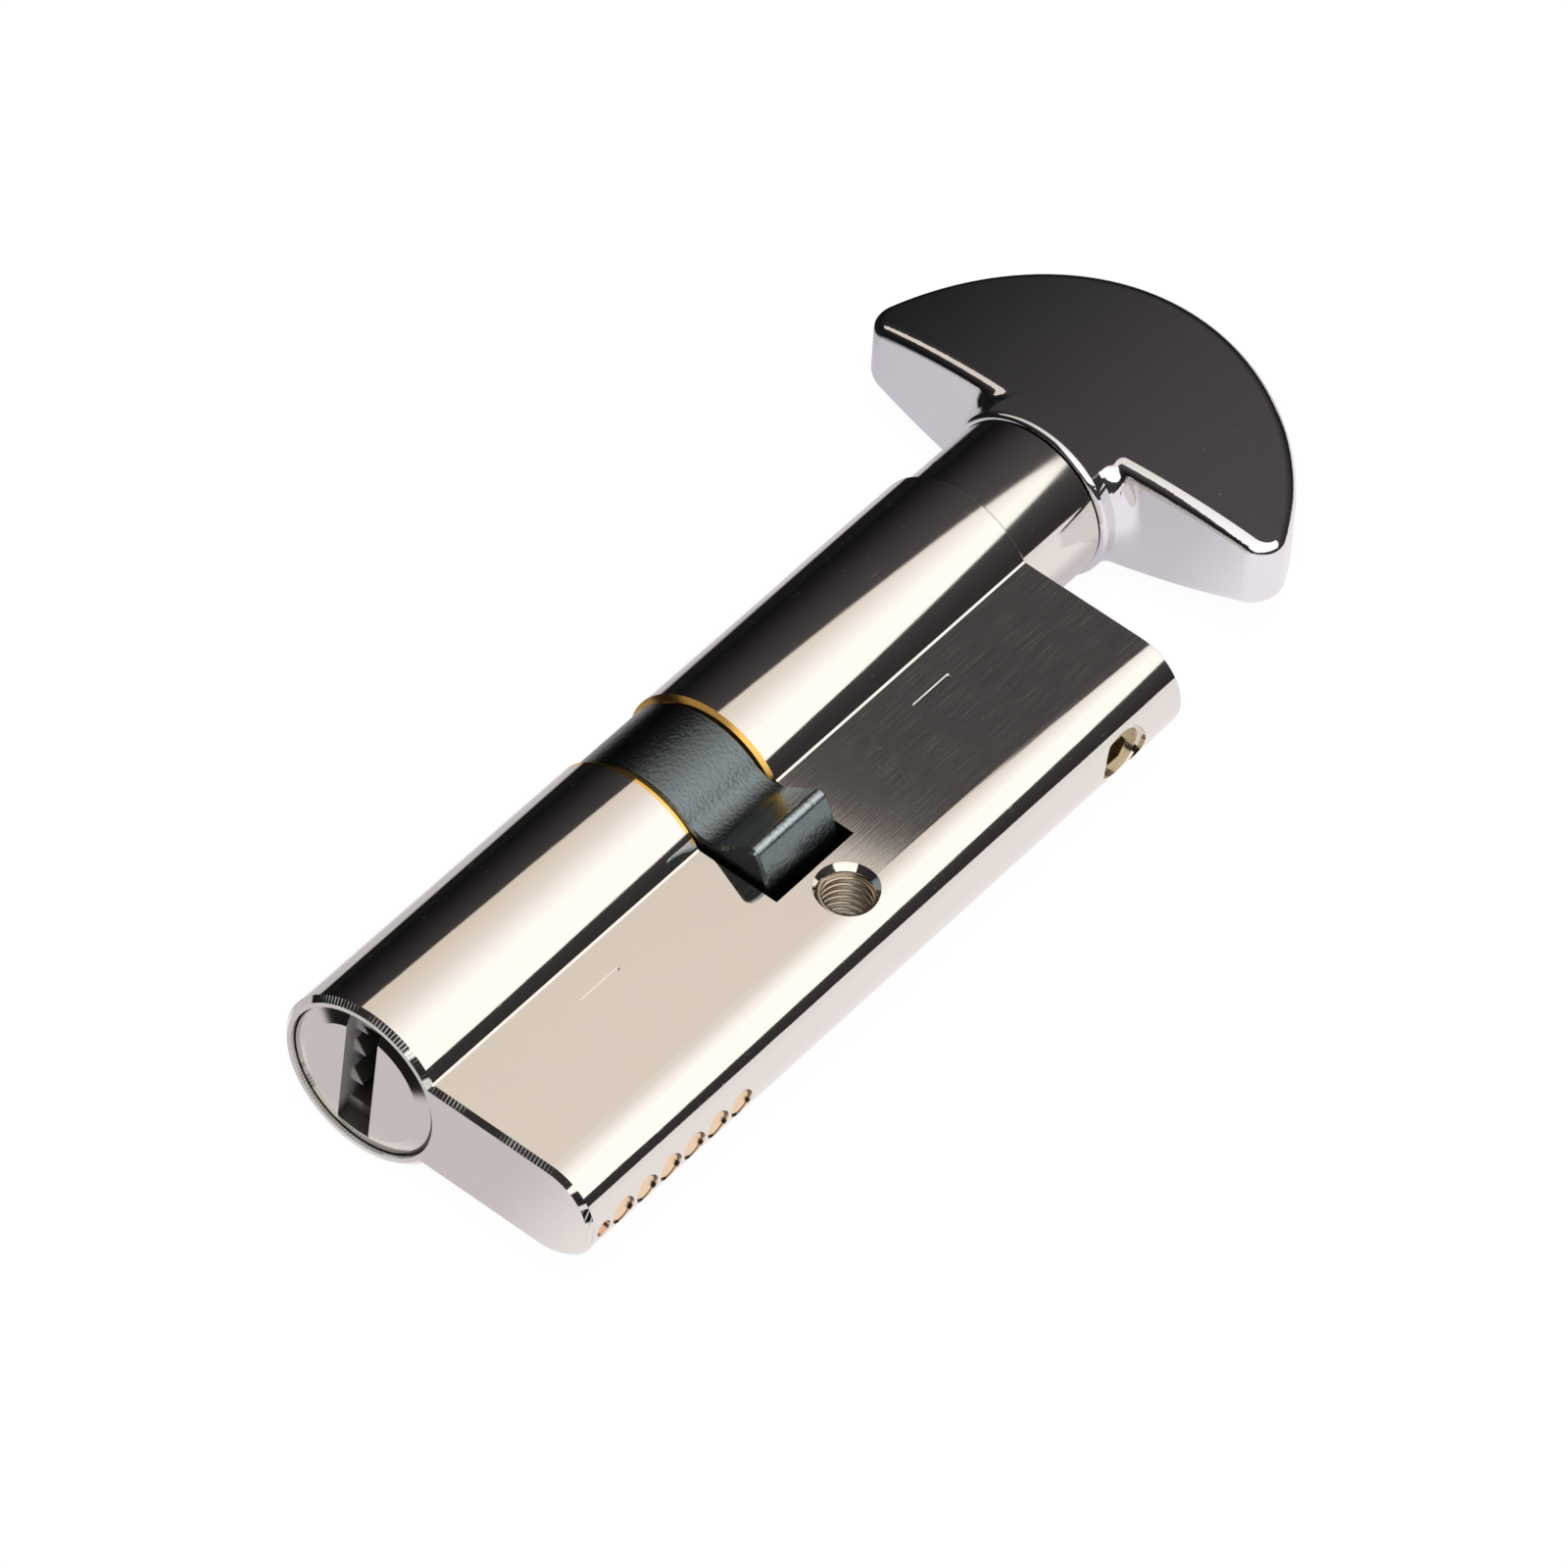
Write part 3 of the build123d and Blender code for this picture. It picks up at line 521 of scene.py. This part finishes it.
def nickel_body():
    finish = Finish("nickel_body")
    lines = finish.noise((0.12, 6, 6), 3)
    fine = finish.noise((0.4, 14, 14))
    drift = finish.noise((0.2, 0.2, 0.2))
    scuffs = 0.6 * finish.rise(finish.noise((0.6, 9, 9), 1), 0.74, 0.84)
    scuffs = scuffs + 0.7 * finish.rise(finish.noise((5, 5, 5), 1), 0.77, 0.81)
    # A pale, less glossy line on the bevel at the knob end: a painted highlight along that edge, added to the
    # scuffs.
    scuffs = scuffs + 0.8 * finish.band(finish.x, KNOB_SIDE - KNOB_BEVEL[0], KNOB_SIDE - KNOB_BEVEL[1], 0.02)
    ticks = chatter(finish)
    flat = finish.band(abs(finish.z), FLAT - 0.02, FLAT + 0.02, 0.01)
    brush = flat * finish.rise(finish.noise((0.2, 18, 18), 2), 0.48, 0.75)
    slot = finish.rise(abs(finish.x), SLOT_WALL + 0.04, SLOT_WALL + 0.02)
    slot = slot * finish.rise(finish.y, SLOT_FLOOR - 0.06, SLOT_FLOOR - 0.03)
    worn = finish.band(finish.x, -SLOT_WALL - SLOT_WEAR, SLOT_WALL + 0.03, 0.03)
    worn = worn * finish.rise(finish.y, CORNER_PLACE + 0.3, CORNER_PLACE + 0.6)
    # Painted shade: the bore wall just inside the body, around the plug, is painted dark grey.
    gap = finish.band(finish.from_axis(), PLUG_BORE - 0.2, PLUG_BORE + 0.02, 0.01)
    lip = gap * finish.rise(finish.x, -KEY_SIDE + KEY_BEVEL, -KEY_SIDE + 0.35)
    gap = gap * finish.band(finish.x, -KEY_SIDE + KEY_BEVEL, PLUG_GAP_END, 0.1)
    plated = finish.blend(drift, NICKEL, NICKEL_WARM)
    # Inside the slot the bare brass is painted dark brown as shade; the brass of its upper walls and edge is
    # laid over it next.
    colour = finish.blend(slot, plated, SLOT_BRASS_SHADE)
    colour = finish.blend(worn, colour, BRASS)
    colour = finish.blend(0.5 * scuffs + ticks, colour, SCUFF)
    colour = finish.blend(gap, colour, GAP_SHADE)
    roughness = 0.035 + 0.02 * drift + 0.03 * flat * lines + 0.2 * scuffs + 0.25 * slot + 0.2 * ticks
    metallic = 1 - 0.3 * scuffs - 0.5 * ticks - 0.08 * brush - 0.6 * lip
    height = lines * (0.5 + flat) + 0.4 * fine
    upward = finish.z.maths("SIGN", finish.z)
    corner = finish.add("ShaderNodeCombineXYZ", values={"Y": CORNER_LEAN[0], "Z": CORNER_LEAN[1] * upward})
    normal = finish.lean(corner_line(finish), finish.grain(height, BODY_GRAIN), corner)
    return finish.metal(colour, roughness, slot_normal(finish, slot, normal), metallic)


def nickel_turned(name, roughness=0.04):
    """Nickel on the pieces that were turned on a lathe."""
    finish = Finish(name)
    lines = finish.noise((0.25, 5, 5), 3)
    scuffs = 0.6 * finish.rise(finish.noise((4.4, 4.4, 4.4), 1), 0.76, 0.81)
    drift = finish.noise((0.3, 0.3, 0.3))
    colour = finish.blend(0.5 * scuffs, finish.blend(drift, NICKEL, NICKEL_WARM), SCUFF)
    past_bevel = 0.5 * finish.rise(finish.x, -KEY_SIDE + 0.15, -KEY_SIDE + 0.35)
    across = finish.y - KEYWAY_SLANT * (finish.x + KEY_SIDE)
    reach = finish.rise(finish.from_axis() - past_bevel, *KEYWAY_REACH)
    inside = reach * finish.band(across, KEYWAY_SIDES[0] - 0.03, KEYWAY_SIDES[1] + 0.03, 0.02)
    deep = inside * finish.band(finish.x, -KEY_SIDE + 0.03, KEYWAY_END, 0.01)
    side = finish.rise(across, KEYWAY_SIDES[1] - 0.09, KEYWAY_SIDES[1] - 0.05)
    step = -KEY_SIDE + KEYWAY_MOUTH
    wards = finish.band(finish.x, step - 0.15, step + 0.05, 0.02)
    wards = wards * finish.rise(finish.y, KEYWAY_SIDES[1] - 1.5, KEYWAY_SIDES[1] - 1.2)
    mouth = deep * finish.rise(finish.x, *MOUTH_FADE) * side.maths("MAXIMUM", side, wards)
    mouth = mouth * finish.rise(finish.z, KEYWAY_FOOT + 0.1, KEYWAY_FOOT + 2.5)
    # Painted shade: a dark line round the rim of the plug's head, wider on one side, where the body's lip
    # overhangs it.
    lip_shade = 0.25 * finish.rise(finish.y, AXIS_PLACE - 3, AXIS_PLACE - 6)
    rim = finish.rise(finish.from_axis() + lip_shade, PLUG_HEAD - 0.08, PLUG_HEAD - 0.04)
    rim = rim * finish.rise(finish.x, *HEAD_FADE)
    # Painted shade inside the keyway: dark grey deep in, and a lighter, less glossy grey at the mouth where
    # light reaches in.
    colour = finish.blend(deep, colour, KEYWAY_SHADE)
    colour = finish.blend(mouth, colour, MOUTH_GREY)
    colour = finish.blend(rim, colour, GAP_SHADE)
    polish = roughness + 0.03 * drift + 0.2 * scuffs + 0.35 * deep + 0.1 * mouth
    metallic = 1 - 0.3 * scuffs - 0.5 * mouth - 0.2 * deep
    return finish.metal(colour, polish, finish.grain(lines, TURNED_GRAIN), metallic)


body_nickel = nickel_body()
neck_nickel = nickel_turned("nickel_neck")
plug_nickel = nickel_turned("nickel_plug", 0.10)
print("nickel:", body_nickel.name, neck_nickel.name, plug_nickel.name)


# %% Chrome on the knob
HOOD_LONG = (50.3, 57.5)
HOOD_WIDE = 6.0
HOOD_HIGH = 6.2
KNOB_CROWN = 0.0144
KNOB_TILT = 0.059
CHROME = rgb(0.81, 0.80, 0.83)
CHROME_BRIGHT = rgb(0.84, 0.84, 0.86)


def hood_normal(finish):
    """Where the collar runs out on the knob's top, the polish makes one surface of the two."""
    aside = finish.y - AXIS_PLACE
    hood = finish.band(finish.x, *HOOD_LONG, 0.8) * finish.rise(abs(aside), HOOD_WIDE + 0.8, HOOD_WIDE)
    hood = hood * finish.rise(finish.z, HOOD_HIGH - 0.3, HOOD_HIGH + 0.1)
    crown = finish.add("ShaderNodeCombineXYZ", values={"Y": KNOB_CROWN * aside + KNOB_TILT, "Z": 1.0})
    plain = finish.add("ShaderNodeNewGeometry").output("Normal")
    return finish.lean(hood, plain, crown)


def bright_chrome():
    finish = Finish("bright_chrome")
    drift = finish.noise((0.15, 0.15, 0.15))
    specks = finish.rise(finish.noise((4, 4, 4), 1), 0.74, 0.78)
    colour = finish.blend(drift, CHROME, CHROME_BRIGHT)
    return finish.metal(colour, 0.04 + 0.025 * drift + 0.15 * specks, hood_normal(finish))


knob_chrome = bright_chrome()
print("chrome:", knob_chrome.name)


# %% Dark steel, brass, copper and plain steel
LEVER_RIDGE = (7.0, 8.45)
CAM_LIGHT_SIDE = (radians(30), radians(125))
CAM_DARK = rgb(0.025, 0.03, 0.03)
CAM_LIGHT = rgb(0.20, 0.24, 0.25)
CAM_RIDGE_HIGHLIGHT = rgb(0.56, 0.64, 0.66)
CAM_GRAIN = 0.04


def dark_steel():
    """Blackened steel, painted dark on one side and lighter as sheen on the other, with a painted highlight
    along the lever's ridge.
    """
    finish = Finish("dark_steel")
    grain = finish.noise((2.8, 2.8, 2.8), 3)
    turn = finish.z.maths("ARCTAN2", finish.z, finish.y - AXIS_PLACE)
    aside = finish.y - LEVER_RIDGE[0]
    above = finish.z - LEVER_RIDGE[1]
    ridge = finish.rise((aside * aside + above * above) ** 0.5, 0.8, 0.3)
    # Painted light: by its turn about the axis, the cam is painted dark as shade on one side and lighter as
    # sheen on the other.
    colour = finish.blend(finish.rise(turn, *CAM_LIGHT_SIDE), CAM_DARK, CAM_LIGHT)
    # Painted highlight along the lever's ridge.
    colour = finish.blend(ridge, colour, CAM_RIDGE_HIGHLIGHT)
    return finish.metal(colour, 0.2 + 0.1 * grain, finish.grain(grain, CAM_GRAIN))


CUT_GRAIN = 0.002


def cut_metal(name, first, second, roughness):
    """Turned or cut metal without plating."""
    finish = Finish(name)
    cut = finish.noise((4, 4, 4), 3)
    drift = finish.noise((0.7, 0.7, 0.7))
    colour = finish.blend(drift, first, second)
    return finish.metal(colour, roughness + 0.15 * cut, finish.grain(cut, CUT_GRAIN))


PIN_PITCH = 3.1
FIRST_PIN = 4.3
CHAMBER_RADIUS = 1.36
PLUG_BRASS = rgb(0.86, 0.60, 0.36)
PLUG_BRASS_LIGHT = rgb(0.92, 0.70, 0.46)
PLUG_EDGE = rgb(0.16, 0.10, 0.05)


def chamber_brass():
    """Cut brass, darker in a ring at the edge of each plug."""
    finish = Finish("plug_brass")
    cut = finish.noise((4, 4, 4), 3)
    along = finish.x + (KEY_SIDE - FIRST_PIN)
    along = along.maths("WRAP", along, PIN_PITCH / 2, -PIN_PITCH / 2)
    radius = (along * along + finish.z * finish.z) ** 0.5
    edge = finish.rise(radius, CHAMBER_RADIUS - 0.3, CHAMBER_RADIUS - 0.15)
    colour = finish.blend(cut, PLUG_BRASS, PLUG_BRASS_LIGHT)
    colour = finish.blend(edge, colour, PLUG_EDGE)
    return finish.metal(colour, 0.16 + 0.15 * cut, finish.grain(cut, CUT_GRAIN))


cam_steel = dark_steel()
plug_brass = chamber_brass()
pin_brass = cut_metal("pin_brass", rgb(0.80, 0.56, 0.22), rgb(0.86, 0.63, 0.28), 0.18)
screw_brass = cut_metal("screw_brass", rgb(0.42, 0.33, 0.18), rgb(0.52, 0.42, 0.24), 0.2)
drill_copper = cut_metal("drill_copper", rgb(0.72, 0.42, 0.26), rgb(0.80, 0.50, 0.32), 0.18)
plain_steel = cut_metal("plain_steel", rgb(0.46, 0.45, 0.44), rgb(0.56, 0.55, 0.53), 0.22)
thread_metal = cut_metal("thread_metal", rgb(0.45, 0.38, 0.29), rgb(0.58, 0.50, 0.40), 0.18)
spring_steel = cut_metal("spring_steel", rgb(0.50, 0.49, 0.47), rgb(0.60, 0.58, 0.55), 0.15)
print("dark steel, brass, copper and steel made")

# %% Put the finishes on the solids
PIN_COUNT = 6
finishes = {"cylinder_body": body_nickel, "knob_shaft": neck_nickel, "key_plug": plug_nickel}
finishes |= {"thumb_knob": knob_chrome, "cam": cam_steel, "anti_drill_pin": drill_copper}
finishes |= {"retaining_screw": screw_brass, "retaining_pin": plain_steel, "knob_set_screw": plain_steel}
finishes |= {"plug_circlip": plain_steel, "coupling": plain_steel, "coupling_spring": spring_steel}
for number in range(1, PIN_COUNT + 1):
    finishes[f"key_pin_{number}"] = pin_brass
    finishes[f"driver_pin_{number}"] = pin_brass
    finishes[f"chamber_plug_{number}"] = plug_brass
    finishes[f"pin_spring_{number}"] = spring_steel
for name, node in nodes.items():
    node.data.materials.clear()
    node.data.materials.append(finishes[name])
print("finished solids:", len(finishes))

# %% [markdown]
# Springs and the screw thread
#
# A spring is a round wire that follows a helix, and a thread is a ridge that follows one too. Geometry Nodes
# draw both with the same few nodes: a spiral curve, a profile, and Curve to Mesh. The sizes are inputs of the
# tree, so one tree serves every spring.

# %% Helix tree
HELIX_INPUTS = {"Radius": "NodeSocketFloat", "Length": "NodeSocketFloat", "Turns": "NodeSocketFloat"}
HELIX_INPUTS |= {"Steps": "NodeSocketInt", "Wire": "NodeSocketFloat", "Finish": "NodeSocketMaterial"}
WIRE_SIDES = 10
RIDGE_STRETCH = 1.45


def helix_tree(name, profile_of):
    """A Geometry Nodes tree that sweeps a profile along a helix about Z."""
    tree = bpy.data.node_groups.new(name, "GeometryNodeTree")
    graph = Graph(tree)
    tree.interface.new_socket("Geometry", in_out="OUTPUT", socket_type="NodeSocketGeometry")
    for label, kind in HELIX_INPUTS.items():
        tree.interface.new_socket(label, in_out="INPUT", socket_type=kind)
    inputs = graph.add("NodeGroupInput")
    values = {"Resolution": inputs.output("Steps"), "Rotations": inputs.output("Turns")}
    values |= {"Start Radius": inputs.output("Radius"), "End Radius": inputs.output("Radius")}
    values |= {"Height": inputs.output("Length")}
    spiral = graph.add("GeometryNodeCurveSpiral", values=values)
    spiral = graph.add("GeometryNodeSetCurveNormal", {"mode": "Z_UP"}, {"Curve": spiral})
    profile = profile_of(graph, inputs)
    swept = {"Curve": spiral, "Profile Curve": profile, "Fill Caps": True}
    mesh = graph.add("GeometryNodeCurveToMesh", values=swept)
    smooth = graph.add("GeometryNodeSetShadeSmooth", values={"Geometry": mesh})
    real = graph.add("GeometryNodeRealizeInstances", values={"Geometry": smooth})
    coat = {"Geometry": real, "Material": inputs.output("Finish")}
    painted = graph.add("GeometryNodeSetMaterial", values=coat)
    graph.add("NodeGroupOutput", values={"Geometry": painted})
    return tree


def round_wire(graph, inputs):
    values = {"Resolution": WIRE_SIDES, "Radius": inputs.output("Wire")}
    return graph.add("GeometryNodeCurvePrimitiveCircle", values=values)


def ridge(graph, inputs):
    """A three-sided ridge whose edge points to the middle of the hole."""
    values = {"Resolution": 3, "Radius": inputs.output("Wire")}
    triangle = graph.add("GeometryNodeCurvePrimitiveCircle", values=values)
    turned = {"Geometry": triangle, "Rotation": (0, 0, radians(180)), "Scale": (1, RIDGE_STRETCH, 1)}
    return graph.add("GeometryNodeTransform", values=turned)


def grown(name, tree, sizes, place):
    """The tree's result as a plain mesh, put in place."""
    base = bpy.data.objects.new(name, bpy.data.meshes.new(name))
    scene.collection.objects.link(base)
    modifier = base.modifiers.new(name, "NODES")
    modifier.node_group = tree
    for item in tree.interface.items_tree:
        if item.in_out == "INPUT":
            modifier[item.identifier] = sizes[item.name]
    graph_now = bpy.context.evaluated_depsgraph_get()
    mesh = bpy.data.meshes.new_from_object(base.evaluated_get(graph_now))
    base.modifiers.remove(modifier)
    mesh.transform(place)
    base.data = mesh
    return base


wire_helix = helix_tree("wire_helix", round_wire)
ridge_helix = helix_tree("ridge_helix", ridge)
print("helix trees:", wire_helix.name, ridge_helix.name)

# %% Pin springs
PIN_SPRING_WIRE = 0.36
PIN_SPRING_TURNS = 9.0
SPRING_STEPS = 22
DRIVER_LIFT = 2.5


def spring_piece(node_name, axis, wire, turns, squeeze_joint, squeeze, body, anchor_high):
    """A round-wire spring in the space of its solid, wound along its axis."""
    low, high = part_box(node_name)
    length = (high - low)[axis]
    across = (axis + 2) % 3
    wire_m = wire * MM
    sizes = {"Radius": (high - low)[across] / 2 - wire_m / 2, "Length": length - wire_m, "Turns": turns}
    sizes |= {"Steps": SPRING_STEPS, "Wire": wire_m / 2, "Finish": spring_steel}
    middle = (low + high) / 2
    foot = middle.copy()
    foot[axis] = low[axis] + wire_m / 2
    direction = Vector([1 if number == axis else 0 for number in range(3)])
    turn = Vector((0, 0, 1)).rotation_difference(direction).to_matrix().to_4x4()
    spring = grown(f"{node_name}_coil", wire_helix, sizes, Matrix.Translation(foot) @ turn)
    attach(spring, body)
    anchor = middle.copy()
    anchor[axis] = high[axis] if anchor_high else low[axis]
    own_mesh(spring)
    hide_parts(node_name)
    return spring


springs = []
for number in range(1, PIN_COUNT + 1):
    joint = f"driver_lift_{number}"
    name = f"pin_spring_{number}"
    spring = spring_piece(name, 1, PIN_SPRING_WIRE, PIN_SPRING_TURNS, joint, DRIVER_LIFT, "body", False)
    springs.append(spring)
print("pin springs:", len(springs), "with", len(springs[0].data.polygons), "faces each")

# %% Coupling spring
COUPLING_SPRING_WIRE = 0.4
COUPLING_SPRING_TURNS = 5.0
COUPLING_PUSH = 1.6

wire_and_turns = (COUPLING_SPRING_WIRE, COUPLING_SPRING_TURNS)
coupling_coil = spring_piece(
    "coupling_spring", 0, *wire_and_turns, "coupling_push", COUPLING_PUSH, "rotor", True
)
print("coupling spring:", len(coupling_coil.data.polygons), "faces")

# %% [markdown]
# The keyway's mouth
#
# In the solid the keyway runs 3 degrees aslant and leaves a thin skin over a part of its mouth. A Boolean
# takes that skin off a copy of the plug, and the copy replaces the solid in the picture. The slant stays.

# %% Keyway mouth
SHARP_ANGLE = radians(12)
CUT_DEPTH = 0.2
CUT_AHEAD = 1
WELD_REACH = 0.0005


def box_object(name, low, high):
    """A box between two corners in millimetres."""
    middle = (Vector(low) + Vector(high)) / 2
    bpy.ops.mesh.primitive_cube_add(size=1, location=middle * MM, scale=(Vector(high) - Vector(low)) * MM)
    bpy.context.object.name = name
    return bpy.context.object


def opened_plug():
    """The plug with its keyway open up to the front face, from the keyway's one side to just past the axis.
    """
    low = (-KEY_SIDE - CUT_AHEAD, KEYWAY_SIDES[0], KEYWAY_FOOT)
    high = (-KEY_SIDE + CUT_DEPTH, AXIS_PLACE + CUT_DEPTH, PLUG_BORE)
    cutter = box_object("mouth_cutter", low, high)
    plug = bpy.data.objects.new("key_plug_open", nodes["key_plug"].data.copy())
    old_normals = plug.data.attributes.get("custom_normal")
    if old_normals:
        plug.data.attributes.remove(old_normals)
    scene.collection.objects.link(plug)
    weld = plug.modifiers.new("weld", "WELD")
    weld.merge_threshold = WELD_REACH * MM
    cut = plug.modifiers.new("mouth", "BOOLEAN")
    cut.operation = "DIFFERENCE"
    cut.solver = "EXACT"
    cut.object = cutter
    mesh = bpy.data.meshes.new_from_object(plug.evaluated_get(bpy.context.evaluated_depsgraph_get()))
    plug.modifiers.clear()
    bpy.data.objects.remove(cutter)
    mesh.set_sharp_from_angle(angle=SHARP_ANGLE)
    mesh.materials.clear()
    mesh.materials.append(plug_nickel)
    plug.data = mesh
    return plug


open_plug = opened_plug()
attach(open_plug, "plug")
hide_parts("key_plug")
print("open plug:", len(open_plug.data.polygons), "faces")

# %% Thread in the fixing hole
THREAD_PITCH = 0.8
THREAD_RADIUS = 2.5
THREAD_HALF_LENGTH = 4.3
THREAD_RIDGE = 0.27
THREAD_SINK = 0.02
THREAD_STEPS = 48

thread_length = 2 * THREAD_HALF_LENGTH
sizes = {"Radius": (THREAD_RADIUS - THREAD_RIDGE / 2 + THREAD_SINK) * MM, "Length": thread_length * MM}
sizes |= {"Turns": thread_length / THREAD_PITCH, "Steps": THREAD_STEPS, "Wire": THREAD_RIDGE * MM}
sizes["Finish"] = thread_metal
thread = grown("fixing_thread", ridge_helix, sizes, Matrix.Translation((0, 0, -THREAD_HALF_LENGTH * MM)))
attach(thread, "body")
print("thread:", len(thread.data.polygons), "faces")
